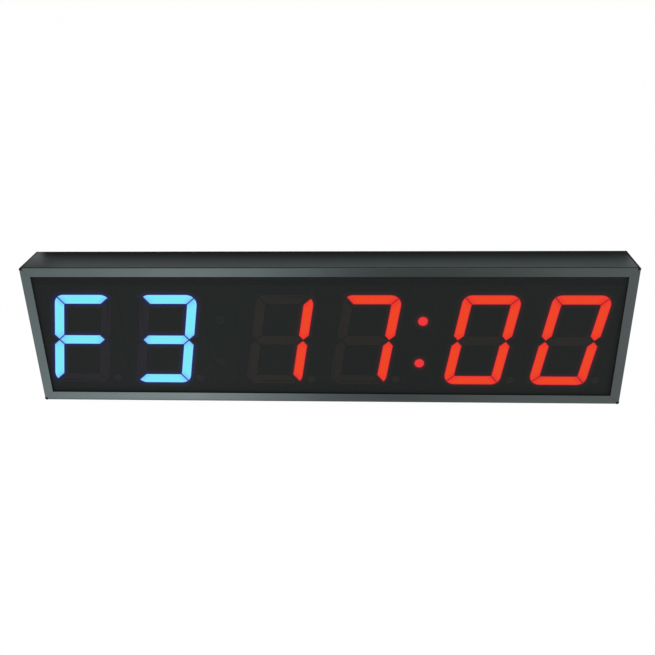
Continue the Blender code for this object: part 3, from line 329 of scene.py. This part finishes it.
MARK = grained("mark_white", (0.72, 0.72, 0.70), 0.5, vary=0.05)

# The finishes of a module by number. All but the first glow, and are named in the same order.
# The last five are painted glow that lit strokes spill onto the housing, round them and across the
# gaps at mitres.
UNLIT, CORE, SHOULDER, RIM, EDGE, TIP, TIP_FADE, SEAM_GLOW, *PAINTED_GLOW = range(12)
LIT_PARTS = ("core", "shoulder", "rim", "edge", "tip", "tip_fade", "seam_glow")
LIT_PARTS += tuple(f"halo_{band}" for band in range(1, len(PAINTED_GLOW_BANDS) + 1))
# At a mitre and at other sides, for each band of a lit face.
FACE_FINISHES = ((TIP, EDGE), (TIP, RIM), (TIP_FADE, SHOULDER))

# The glow of each lit part, in the same order; the last five are painted glow on the housing.
BLUE_COLOURS = (
    (0.176, 0.802, 0.897),
    (0.200, 0.785, 0.965),
    (0.260, 0.730, 1.000),
    (0.055, 0.060, 0.450),
    (0.190, 0.560, 0.970),
    (0.175, 0.700, 0.930),
    (0.000, 0.010, 0.420),
    (0.000, 0.000, 0.125),
    (0.000, 0.000, 0.036),
    (0.000, 0.000, 0.014),
    (0.000, 0.000, 0.005),
)
RED_COLOURS = (
    (0.835, 0.041, 0.000),
    (0.850, 0.034, 0.004),
    (0.870, 0.016, 0.028),
    (0.300, 0.005, 0.018),
    (0.840, 0.018, 0.010),
    (0.840, 0.026, 0.004),
    (0.360, 0.000, 0.000),
    (0.050, 0.000, 0.000),
    (0.008, 0.000, 0.000),
    (0.003, 0.000, 0.000),
    (0.001, 0.000, 0.000),
)
COLON_COLOURS = (
    (0.880, 0.018, 0.028),
    (0.860, 0.020, 0.030),
    (0.800, 0.020, 0.030),
    (0.300, 0.006, 0.008),
    (0.800, 0.020, 0.030),
    (0.860, 0.020, 0.030),
    (0.300, 0.006, 0.008),
    (0.090, 0.000, 0.000),
    (0.018, 0.000, 0.000),
    (0.007, 0.000, 0.000),
    (0.002, 0.000, 0.000),
)
# The epoxy of a lit part under its glow.
BLUE_BODY = (0.014, 0.016, 0.024)
RED_BODY = (0.024, 0.008, 0.006)


def module_finishes(name, unlit, body, colours):
    lit = (glowing(f"{name}_{part}", body, colour) for part, colour in zip(LIT_PARTS, colours))
    return (unlit, *lit)


BLUE = module_finishes("blue", EPOXY_BLUE, BLUE_BODY, BLUE_COLOURS)
RED = module_finishes("red", EPOXY_RED, RED_BODY, RED_COLOURS)
COLON = module_finishes("colon", EPOXY_DARK, RED_BODY, COLON_COLOURS)

FINISHES = {
    "top_rail": CASE_LONG,
    "bottom_rail": CASE_LONG,
    "left_rail": CASE_TALL,
    "right_rail": CASE_TALL,
    "corner_key": CORNER,
    "front_window": WINDOW,
    "rear_cover": COAT,
    "cover_screw": SCREW,
    "digit_housing": REFLECTOR,
    "colon_housing": REFLECTOR,
    "digit_lens": EPOXY_RED,
    "colon_lens": EPOXY_DARK,
    "display_board": BOARD_BLACK,
    "ir_receiver": RECEIVER,
    "led_driver": CHIP,
    "display_header": CHIP,
    "ribbon_cable": RIBBON,
    "control_header": CHIP,
    "control_board": BOARD,
    "microcontroller": CHIP,
    "clock_crystal": TIN,
    "coin_cell_holder": CHIP,
    "coin_cell": TIN,
    "buzzer": CHIP,
    "power_capacitor": SLEEVE,
    "board_support": NYLON,
    "dc_jack": MOULDED,
    "jack_nut": TIN,
    "switch_body": MOULDED,
    "power_rocker": ROCKER,
    "jack_lead": LEAD_BLACK,
    "switch_lead": LEAD_RED,
    "link_lead": LEAD_RED,
    "power_terminal": SOCKET,
}


def dress_nodes():
    """Gives each solid the material of the longest family name that its own name starts with."""
    for name, node in nodes.items():
        family = max((key for key in FINISHES if name.startswith(key)), key=len)
        for place in node.material_slots:
            place.material = FINISHES[family]


def sides_of(outline):
    """Each side of a closed outline, as its start and its end."""
    return zip(outline, outline[1:] + outline[:1])


def anticlockwise(outline):
    area = sum(start[0] * end[1] - end[0] * start[1] for start, end in sides_of(outline))
    return outline if area > 0 else outline[::-1]


def front_outlines(node):
    """The outlines of a lens's front faces, as lists of (X, Z) anticlockwise, and the front's Y."""
    shape = bmesh.new()
    shape.from_mesh(node.data)
    bmesh.ops.remove_doubles(shape, verts=shape.verts, dist=SAME_PLACE)
    front = min(vert.co.y for vert in shape.verts)
    limit = front + FRONT_DEPTH
    faces = [face for face in shape.faces if all(vert.co.y < limit for vert in face.verts)]
    ahead = {}
    for face in faces:
        for loop in face.loops:
            if any(other not in faces for other in loop.edge.link_faces):
                ahead[loop.vert] = loop.link_loop_next.vert
    outlines = []
    while ahead:
        vert = next(iter(ahead))
        outline = []
        while vert in ahead:
            outline.append((vert.co.x, vert.co.z))
            vert = ahead.pop(vert)
        outlines.append(anticlockwise(outline))
    shape.free()
    return outlines, front


def mitres_of(outline):
    """Whether each side of an outline is a mitre."""
    found = []
    for start, end in sides_of(outline):
        side = Vector(end) - Vector(start)
        slanting = min(abs(side.x), abs(side.y)) > MITRE_SLANT * side.length
        found.append(slanting and side.length > SHORTEST_MITRE)
    return found


def inset_each(outline, gaps):
    """A convex outline with each side moved in by its own gap."""
    sides = []
    for (start, end), gap in zip(sides_of(outline), gaps):
        along = (Vector(end) - Vector(start)).normalized()
        inward = Vector((-along.y, along.x))
        sides.append((Vector(start) + inward * gap, along))
    corners = []
    for (before, first), (after, second) in zip(sides[-1:] + sides[:-1], sides):
        turn = first.cross(second)
        if abs(turn) > PARALLEL:
            corner = before + first * ((after - before).cross(second) / turn)
        else:
            corner = after
        corners.append(tuple(corner))
    return corners


def inset(outline, at_mitre, elsewhere):
    """A convex outline with its mitres moved in by one gap and its other sides by another."""
    gaps = [at_mitre if mitre else elsewhere for mitre in mitres_of(outline)]
    return inset_each(outline, gaps)


def distance_to(outline, place):
    """How far a place is from the nearest side of an outline."""
    nearest = math.inf
    for start, end in sides_of(outline):
        side = Vector(end) - Vector(start)
        share = (place - Vector(start)).dot(side) / side.length_squared
        foot = Vector(start) + side * min(max(share, 0.0), 1.0)
        nearest = min(nearest, (place - foot).length)
    return nearest


def free_share(start, end, own, others):
    """The share of the way from start to end that lies nearer to an outline than to others."""

    def free(share):
        place = start.lerp(end, share)
        return all(distance_to(own, place) < distance_to(other, place) for other in others)

    if free(1.0):
        return 1.0
    low, high = 0.0, 1.0
    for _ in range(HALVINGS):
        middle = (low + high) / 2
        if free(middle):
            low = middle
        else:
            high = middle
    return low


def middle_of(outline):
    return sum((Vector(corner) for corner in outline), Vector((0, 0))) / len(outline)


def stroke_name(place):
    """Which stroke of a digit has its middle at this place, counted from the digit's middle."""
    upright = place.x - place.y * DIGIT_SLANT
    if upright > POINT_ACROSS and place.y < -POINT_BELOW:
        return "point"
    if abs(upright) < MIDDLE_REACH:
        if abs(place.y) < MIDDLE_REACH:
            return "g"
        return "a" if place.y > 0 else "d"
    if upright > 0:
        return "b" if place.y > 0 else "c"
    return "f" if place.y > 0 else "e"


class Pieces:
    """A mesh under construction, with a material number for each face."""

    def __init__(self):
        self.shape = bmesh.new()

    def ring(self, outline, y):
        return [self.shape.verts.new((x, y, z)) for x, z in outline]

    def wall(self, first, second, number):
        """Faces between two rings, with one material number or a list with one for each face."""
        numbers = number if isinstance(number, list) else [number] * len(first)
        for near, far, chosen in zip(sides_of(first), sides_of(second), numbers):
            corners = (*near, *reversed(far))
            self.shape.faces.new(corners).material_index = chosen

    def cap(self, ring, number):
        self.shape.faces.new(ring).material_index = number

    def box(self, low, high, number):
        outline = [(low.x, low.z), (high.x, low.z), (high.x, high.z), (low.x, high.z)]
        near = self.ring(outline, low.y)
        far = self.ring(outline, high.y)
        self.cap(near, number)
        self.wall(near, far, number)
        self.cap(far, number)

    def finished(self, name, materials):
        bmesh.ops.dissolve_degenerate(self.shape, dist=SAME_PLACE, edges=self.shape.edges)
        bmesh.ops.recalc_face_normals(self.shape, faces=self.shape.faces)
        mesh = bpy.data.meshes.new(name)
        self.shape.to_mesh(mesh)
        self.shape.free()
        for material in materials:
            mesh.materials.append(material)
        made = bpy.data.objects.new(name, mesh)
        scene.collection.objects.link(made)
        return made


def make_block(made, edge, front, back, lit):
    """One stroke: a face dished in bands, each with a finish of its own when lit, and its sides."""
    mitres = mitres_of(edge)
    border = made.ring(edge, front)
    foot = made.ring(edge, back)
    made.wall(border, foot, UNLIT)
    made.cap(foot, UNLIT)
    outer = border
    for index, (gaps, (at_mitre, elsewhere)) in enumerate(zip(FACE_BANDS, FACE_FINISHES)):
        depth = DISH_DEPTH * (index + 1) / len(FACE_BANDS)
        inner = made.ring(inset(edge, *gaps), front + depth)
        finishes = [at_mitre if mitre else elsewhere for mitre in mitres]
        made.wall(outer, inner, finishes if lit else UNLIT)
        outer = inner
    made.cap(outer, CORE if lit else UNLIT)


def make_painted_glow(made, edge, others, front):
    """A thin sheet of painted glow that a lit stroke spills onto the housing round it: dimmer
    further out, up to halfway to other lit strokes, and brighter in the gap across a mitre.
    """
    across = []
    for start, end in sides_of(edge):
        middle = (Vector(start) + Vector(end)) / 2
        reach = min((distance_to(other, middle) for other in others), default=math.inf)
        across.append(reach if reach < WIDEST_MITRE else math.inf)

    def band(width, mitre_share):
        gaps = [-min(width, reach * mitre_share) for reach in across]
        for start, end in zip(edge, inset_each(edge, gaps)):
            start = Vector(start)
            end = Vector(end)
            yield tuple(start.lerp(end, free_share(start, end, edge, others)))

    bands = [list(band(*ends)) for ends in zip(PAINTED_GLOW_BANDS, MITRE_SHARES)]
    near = [made.ring(outline, front - 2 * PAINTED_GLOW_RISE) for outline in (edge, *bands)]
    far = [made.ring(outline, front - PAINTED_GLOW_RISE) for outline in (edge, bands[-1])]
    # Across a mitre, the first band is a brighter painted glow in the gap between two lit strokes.
    seam_glows = [SEAM_GLOW if reach < math.inf else PAINTED_GLOW[0] for reach in across]
    made.wall(near[0], near[1], seam_glows)
    for inner, outer, number in zip(near[1:], near[2:], PAINTED_GLOW[1:]):
        made.wall(inner, outer, number)
    made.wall(near[-1], far[1], PAINTED_GLOW[-1])
    made.wall(far[1], far[0], PAINTED_GLOW[0])
    made.wall(far[0], near[0], PAINTED_GLOW[0])


def make_lens(node_name, piece_name, lit, finishes):
    """The epoxy of one module: a slab with a block in each window, lit ones in their glow, and
    painted glow that lit ones spill onto the housing round them.
    """
    outlines, front = front_outlines(nodes[node_name])
    low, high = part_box(node_name)
    middle = Vector(((low.x + high.x) / 2, (low.z + high.z) / 2))
    slab_front = high.y - SLAB_REACH
    edges = [inset(outline, -MITRE_REACH, 0) for outline in outlines]
    lit_edges = [edge for edge in edges if lit(middle_of(edge) - middle)]
    made = Pieces()
    for edge in edges:
        make_block(made, edge, front, slab_front, edge in lit_edges)
    # Painted glow on the housing round each lit stroke.
    for edge in lit_edges:
        make_painted_glow(made, edge, [other for other in lit_edges if other is not edge], front)
    made.box(Vector((low.x, slab_front, low.z)), high, UNLIT)
    piece = made.finished(piece_name, finishes)
    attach(piece, "clock")
    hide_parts(node_name)
    return piece


def make_digit(number, sign):
    finishes, slot = (BLUE, "blue_lens") if number <= BLUE_DIGITS else (RED, "red_lens")

    def lit(place):
        return stroke_name(place) in LIT_STROKES[sign]

    piece = make_lens(f"digit_lens_{number}", f"digit_{number}_strokes", lit, finishes)


def make_colon(number):
    on = number == LIT_COLON
    piece = make_lens(f"colon_lens_{number}", f"colon_{number}_dots", lambda place: on, COLON)


# The rocker's marks, across and up from the middle of its face: heights along the bar and half its
# width, then the ring's height, its two radii and its sides. Half of a mark's thickness is sunk in.
BAR_HEIGHTS = (1.7 * MM, 2.2 * MM, 2.7 * MM, 3.2 * MM, 3.7 * MM)
BAR_HALF_WIDTH = 0.25 * MM
RING_HEIGHT = -2.6 * MM
RING_RADII = (0.8 * MM, 1.2 * MM)
RING_SIDES = 24
MARK_HALF_THICKNESS = 0.05 * MM
# How far outside the rocker a ray to its face starts.
RAY_START = 1 * MM


def make_rocker_marks():
    """A white bar on the upper half of the rocker's dished face and a ring on its lower half."""
    mesh = nodes["power_rocker"].data
    corners = [vert.co for vert in mesh.vertices]
    face = BVHTree.FromPolygons(corners, [polygon.vertices for polygon in mesh.polygons])
    low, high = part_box("power_rocker")
    middle = (low + high) / 2
    made = Pieces()

    def on_face(across, up, lift):
        place = Vector((high.x + RAY_START, middle.y + across, middle.z + up))
        hit = face.ray_cast(place, Vector((-1, 0, 0)))[0]
        return made.shape.verts.new(hit + Vector((lift, 0, 0)))

    def section(inner, outer):
        """A mark's thickness between two places on the face."""
        sunk, raised = -MARK_HALF_THICKNESS, MARK_HALF_THICKNESS
        ends = ((inner, sunk), (outer, sunk), (outer, raised), (inner, raised))
        return [on_face(*place, lift) for place, lift in ends]

    bar = [section((-BAR_HALF_WIDTH, up), (BAR_HALF_WIDTH, up)) for up in BAR_HEIGHTS]
    made.cap(bar[0], 0)
    made.cap(bar[-1], 0)
    ring = []
    for step in range(RING_SIDES):
        turn = 2 * math.pi * step / RING_SIDES
        across, up = math.cos(turn), math.sin(turn)
        edges = [(radius * across, radius * up + RING_HEIGHT) for radius in RING_RADII]
        ring.append(section(*edges))
    for first, second in (*zip(bar, bar[1:]), *sides_of(ring)):
        made.wall(first, second, 0)
    piece = made.finished("rocker_marks", (MARK,))
    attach(piece, "rocker")


# The camera, from the perspective of the case's edges in the photograph. Only its lens and its
# sensor are in millimetres.
CAMERA_PLACE = Vector((0.04187, -0.75159, 0.35661))
CAMERA_YAW = math.radians(-3.204)
CAMERA_PITCH = math.radians(26.017)
CAMERA_ROLL = math.radians(-1.220)
CAMERA_LENS = 43.41
CAMERA_SENSOR = 36
CAMERA_NEAREST = 0.01


def aim_camera():
    """The camera looks down on the face, a little to the left of square on, and leans."""
    pitch, yaw, roll = CAMERA_PITCH, CAMERA_YAW, CAMERA_ROLL
    ahead = Vector(
        (math.sin(yaw) * math.cos(pitch), math.cos(yaw) * math.cos(pitch), -math.sin(pitch))
    )
    level = Vector((math.cos(yaw), -math.sin(yaw), 0))
    above = level.cross(ahead)
    right = math.cos(roll) * level + math.sin(roll) * above
    up = math.cos(roll) * above - math.sin(roll) * level
    data = bpy.data.cameras.new("camera")
    data.lens = CAMERA_LENS
    data.sensor_width = CAMERA_SENSOR
    data.sensor_fit = "HORIZONTAL"
    data.clip_start = CAMERA_NEAREST
    camera = bpy.data.objects.new("camera", data)
    scene.collection.objects.link(camera)
    turn = Matrix((right, up, -ahead)).transposed().to_4x4()
    camera.matrix_world = Matrix.Translation(CAMERA_PLACE) @ turn
    scene.camera = camera


# The world's light level by height, from straight down at 0 over the horizon at 0.5 to straight up
# at 1. The sky is a little cool between the two ends.
BELOW_HORIZON = (0.49, 0.42)
SKY = ((0.50, 0.90), (0.725, 0.73), (0.80, 0.42), (0.90, 0.10))
OVERHEAD = (1.0, 0.03)
SKY_TINT = (1.0, 1.02, 1.03)


def make_world():
    """Soft grey light all round, weaker overhead, and from below what a pale floor sends back."""
    world = bpy.data.worlds.new("studio")
    world.use_nodes = True
    scene.world = world
    tree = world.node_tree
    place = added(tree, "ShaderNodeTexCoord").outputs["Generated"]
    upward = added(tree, "ShaderNodeSeparateXYZ", {0: place}).outputs["Z"]
    height = added(tree, "ShaderNodeMapRange", {"Value": upward, "From Min": -1.0})
    lowest, highest = ((position, (level,) * 3) for position, level in (BELOW_HORIZON, OVERHEAD))
    steps = [lowest, *((position, scaled(SKY_TINT, level)) for position, level in SKY), highest]
    background = tree.nodes["Background"]
    tree.links.new(ramp(tree, height.outputs["Result"], steps), background.inputs["Color"])
    background.inputs["Strength"].default_value = 1.0


def plane(name, middle, size, tilt=0.0):
    """A flat piece of the set, level or tilted about X."""
    half_x, half_y = size[0] / 2, size[1] / 2
    mesh = bpy.data.meshes.new(name)
    corners = [(-half_x, -half_y, 0), (half_x, -half_y, 0), (half_x, half_y, 0), (-half_x, half_y, 0)]
    mesh.from_pydata(corners, [], [(0, 1, 2, 3)])
    made = bpy.data.objects.new(name, mesh)
    made.location = middle
    made.rotation_euler = (tilt, 0, 0)
    scene.collection.objects.link(made)
    made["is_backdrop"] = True
    return made


# The floor lies this far below the clock. A lit share of it keeps the shadow, and the glow of the
# rest makes up for what that share lacks of white.
FLOOR_GAP = 0.2 * MM
FLOOR_SIZE = (40, 40)
GLOW_SHARE = 0.97
FLOOR_GLOW = 1.016


def make_floor():
    """Pale floor that shows white, in view and in reflections, and keeps a light shadow."""
    floor = plane("floor", (0, 0, cad_box[0][2] - FLOOR_GAP), FLOOR_SIZE)
    shader = Shader("floor_white", 0.9)
    shader.set("Base Color", (0.90, 0.90, 0.90, 1))
    shader.set("Specular IOR Level", 0.0)
    tree = shader.tree
    glow = added(tree, "ShaderNodeEmission", {"Strength": FLOOR_GLOW})
    path = added(tree, "ShaderNodeLightPath")
    seen = path.outputs["Is Camera Ray"]
    for name in ("Is Glossy Ray", "Is Transmission Ray"):
        seen = arithmetic(tree, "MAXIMUM", seen, path.outputs[name])
    share = arithmetic(tree, "MULTIPLY", seen, GLOW_SHARE)
    inputs = {"Fac": share, 1: shader.surface.outputs[0], 2: glow.outputs[0]}
    shader.show(added(tree, "ShaderNodeMixShader", inputs).outputs[0])
    floor.data.materials.append(shader.material)
    # The world stands in for the light that the floor sends back.
    floor.visible_diffuse = False
    floor.visible_shadow = False


# The card lies this far above the clock's underside, over these reaches along X and Y.
CARD_GAP = 0.3 * MM
CARD_X = (-0.6, 0.6)
CARD_Y = (-0.8995, -0.0465)
# Its light level by X in the part away from the clock and in the part beside it, and the Y values
# between which one turns into the other. Both ends of the card have a level of 1.
CARD_AWAY = ((-0.42, 1.45), (-0.30, 2.0), (-0.20, 2.55), (-0.13, 2.3), (-0.05, 0.92))
CARD_AWAY += ((0.03, 0.28), (0.13, 0.12), (0.22, 0.46), (0.35, 1.15))
CARD_BESIDE = ((-0.42, 1.45), (-0.30, 1.9), (-0.22, 2.5), (-0.14, 2.7), (-0.06, 1.7))
CARD_BESIDE += ((0.0, 0.95), (0.07, 0.65), (0.13, 0.75), (0.20, 0.98), (0.28, 1.0), (0.35, 1.1))
CARD_TURNS = (-0.16, -0.07)
# The strength of the card's glow, of which its colours hold a share. Against its green, the card
# has this much blue, and its red gains this much in each metre to the right.
CARD_STRENGTH = 2.8
CARD_BLUE = 1.01
CARD_WARMTH = 0.16


def make_reflector():
    """A card flat in front of the clock, uneven and cooler to the left, seen only in gloss."""
    left, right = CARD_X
    middle = Vector((0, sum(CARD_Y) / 2, cad_box[0][2] + CARD_GAP))
    card = plane("reflector", middle, (right - left, CARD_Y[1] - CARD_Y[0]))
    shader = Shader("reflector")
    tree = shader.tree
    split = added(tree, "ShaderNodeSeparateXYZ", {0: shader.place})
    inputs = {"Value": split.outputs["X"], "From Min": left, "From Max": right}
    share = added(tree, "ShaderNodeMapRange", inputs).outputs["Result"]
    plain = (1 / CARD_STRENGTH,) * 3
    rows = []
    for levels in (CARD_AWAY, CARD_BESIDE):
        steps = [(0.0, plain), (1.0, plain)]
        for x, level in levels:
            tint = (1 + CARD_WARMTH * x, 1.0, CARD_BLUE)
            steps.insert(-1, ((x - left) / (right - left), scaled(tint, level / CARD_STRENGTH)))
        rows.append(ramp(tree, share, steps))
    beside = eased(tree, split.outputs["Y"], *(y - middle.y for y in CARD_TURNS))
    inputs = {"Color": shader.blend(beside, *rows), "Strength": CARD_STRENGTH}
    shader.show(added(tree, "ShaderNodeEmission", inputs).outputs[0])
    card.data.materials.append(shader.material)
    card.visible_camera = False
    card.visible_diffuse = False
    card.visible_shadow = False


# Each flag's middle, size, tilt, reach of its fade at the ends and at one long edge, and grey. The
# heights of the middles are above the top of the case.
REAR_FLAG = ((0.0045, 0.008, 0.0105), (0.611, 0.021), math.pi / 2, (0.008, 0.012), 0.12)
CORNER_FLAG = ((-0.330, 0.008, 0.045), (0.090, 0.070), -math.pi / 2, (0.012, 0.020), 0.004)


def make_flag(name, middle, size, tilt, fade, grey):
    """A dark upright card out of the camera's sight, clear towards its ends and one long edge."""
    top = Vector((0, 0, cad_box[1][2]))
    card = plane(name, Vector(middle) + top, size, tilt)
    shader = Shader(name)
    shader.set("Base Color", (grey, grey, grey, 1))
    shader.set("Specular IOR Level", 0.0)
    tree = shader.tree
    split = added(tree, "ShaderNodeSeparateXYZ", {0: shader.place})
    from_middle = arithmetic(tree, "ABSOLUTE", split.outputs["X"])
    parts = [
        eased(tree, value, length / 2, length / 2 - width)
        for value, length, width in zip((from_middle, split.outputs["Y"]), size, fade)
    ]
    shader.drive("Alpha", arithmetic(tree, "MULTIPLY", *parts))
    card.data.materials.append(shader.material)
    card.visible_camera = False


# The fill light's middle, its size and its power in watts.
FILL_PLACE = Vector((0.3, -1.6, 1.0))
FILL_SIZE = (1.2, 0.8)
FILL_POWER = 12.0


def make_fill():
    """A broad lamp above and in front of the clock, which doesn't show in gloss."""
    data = bpy.data.lights.new("fill_light", "AREA")
    data.shape = "RECTANGLE"
    data.size, data.size_y = FILL_SIZE
    data.energy = FILL_POWER
    lamp = bpy.data.objects.new("fill_light", data)
    lamp.location = FILL_PLACE
    lamp.rotation_euler = (-FILL_PLACE).to_track_quat("-Z", "Y").to_euler()
    lamp.visible_camera = False
    lamp.visible_glossy = False
    scene.collection.objects.link(lamp)


dress_nodes()
for number, sign in enumerate(READING, start=1):
    make_digit(number, sign)
for number in (1, 2):
    make_colon(number)
make_rocker_marks()
aim_camera()
make_world()
make_floor()
make_reflector()
make_flag("rear_flag", *REAR_FLAG)
make_flag("corner_flag", *CORNER_FLAG)
make_fill()

scene.view_settings.view_transform = "Standard"

boxes = {"cad": cad_box, "visual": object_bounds()}
{key: [list(corner) for corner in pair] for key, pair in boxes.items()}
